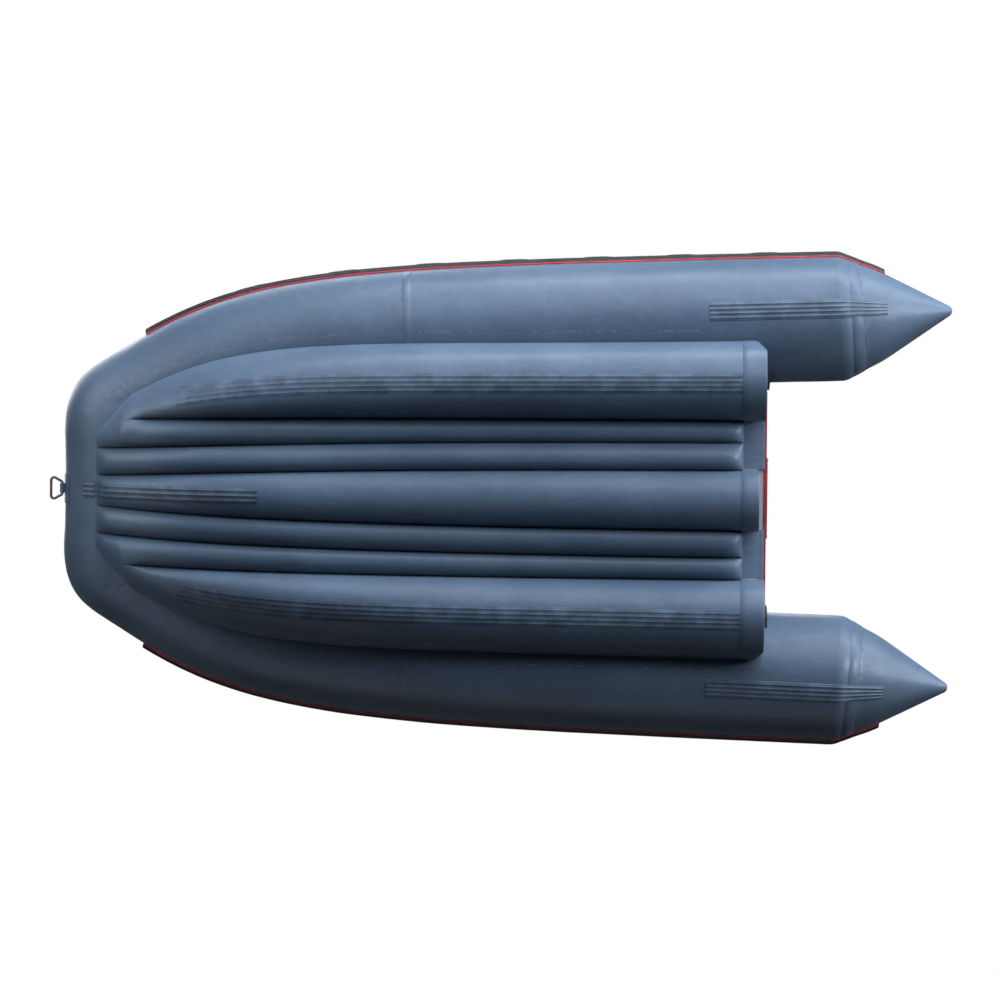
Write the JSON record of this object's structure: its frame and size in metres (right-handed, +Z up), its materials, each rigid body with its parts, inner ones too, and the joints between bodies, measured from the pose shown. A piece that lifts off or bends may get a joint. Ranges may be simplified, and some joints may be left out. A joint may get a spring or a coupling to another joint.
{
  "type": "inflatable boat",
  "caption": "Inflatable tender with a horseshoe of dark tubes, an inflated ribbed bottom, a motor transom, bench seats, rowlocks and a grab line.",
  "frame": {"origin": "bottom centre of the whole boat's bounding box, on the ground under the outer chambers", "axes": "+X towards the bow along the longest extent, +Y to port, +Z up along the shortest extent"},
  "size_m": [3.3559, 1.8392, 0.8179],
  "materials": {
    "tube_fabric": "satin coated fabric, inflated",
    "floor_fabric": "satin coated fabric, inflated",
    "black_rubber": "matte black rubber",
    "red_trim": "red flexible trim",
    "transom_ply": "pale painted plywood",
    "seat_board": "varnished marine plywood",
    "pad_plastic": "matte black plastic",
    "fitting_plastic": "moulded black plastic",
    "stainless": "polished stainless steel bar",
    "rope": "black braided rope",
    "aluminium": "anodised aluminium plate"
  },
  "bodies": {
    "hull": {"bow_tube": "tube_fabric", "side_tube_port": "tube_fabric", "side_tube_starboard": "tube_fabric", "stern_cone_port": "tube_fabric", "stern_cone_starboard": "tube_fabric", "stern_flap_port": "tube_fabric", "stern_flap_starboard": "tube_fabric", "keel_chamber": "floor_fabric", "inner_chamber_port": "floor_fabric", "inner_chamber_starboard": "floor_fabric", "narrow_chamber_port": "floor_fabric", "narrow_chamber_starboard": "floor_fabric", "outer_chamber_port": "floor_fabric", "outer_chamber_starboard": "floor_fabric", "strake_port": "black_rubber", "strake_starboard": "black_rubber", "transom_holder_port": "black_rubber", "transom_holder_starboard": "black_rubber", "seat_rail_port": "black_rubber", "seat_rail_starboard": "black_rubber", "tow_patch": "black_rubber", "bow_handle": "black_rubber", "carry_handle_port": "black_rubber", "carry_handle_starboard": "black_rubber", "strake_piping_port": "red_trim", "strake_piping_starboard": "red_trim", "transom_board": "transom_ply", "motor_pad_inner": "pad_plastic", "motor_pad_outer": "pad_plastic", "drain_valve": "fitting_plastic", "air_valves": "fitting_plastic", "rowlock_base_port": "fitting_plastic", "rowlock_base_starboard": "fitting_plastic", "lifeline_holders_port": "fitting_plastic", "lifeline_holders_starboard": "fitting_plastic", "lifeline_port": "rope", "lifeline_starboard": "rope"},
    "rowlock_port": {"rowlock_port": "fitting_plastic"},
    "rowlock_starboard": {"rowlock_starboard": "fitting_plastic"},
    "seat_front": {"seat_board_front": "seat_board", "seat_brackets_front": "aluminium"},
    "seat_rear": {"seat_board_rear": "seat_board", "seat_brackets_rear": "aluminium"},
    "tow_ring": {"tow_ring": "stainless"}
  },
  "joints": [
    {"name": "rowlock_port_swivel", "type": "hinge", "parent": "hull", "child": "rowlock_port", "pos_m": [-0.0603, 0.6249, 0.6569], "axis": [0, 0, 1], "continuous": true},
    {"name": "rowlock_starboard_swivel", "type": "hinge", "parent": "hull", "child": "rowlock_starboard", "pos_m": [-0.0603, -0.6249, 0.6569], "axis": [0, 0, 1], "continuous": true},
    {"name": "seat_front_slide", "type": "slide", "parent": "hull", "child": "seat_front", "axis": [1, 0, 0], "range_m": [-0.1, 0.1]},
    {"name": "seat_rear_slide", "type": "slide", "parent": "hull", "child": "seat_rear", "axis": [1, 0, 0], "range_m": [-0.1, 0.1]},
    {"name": "tow_ring_swing", "type": "hinge", "parent": "hull", "child": "tow_ring", "pos_m": [1.631, 0, 0.52486], "axis": [0, 1, 0], "range_deg": [-60, 60]}
  ]
}
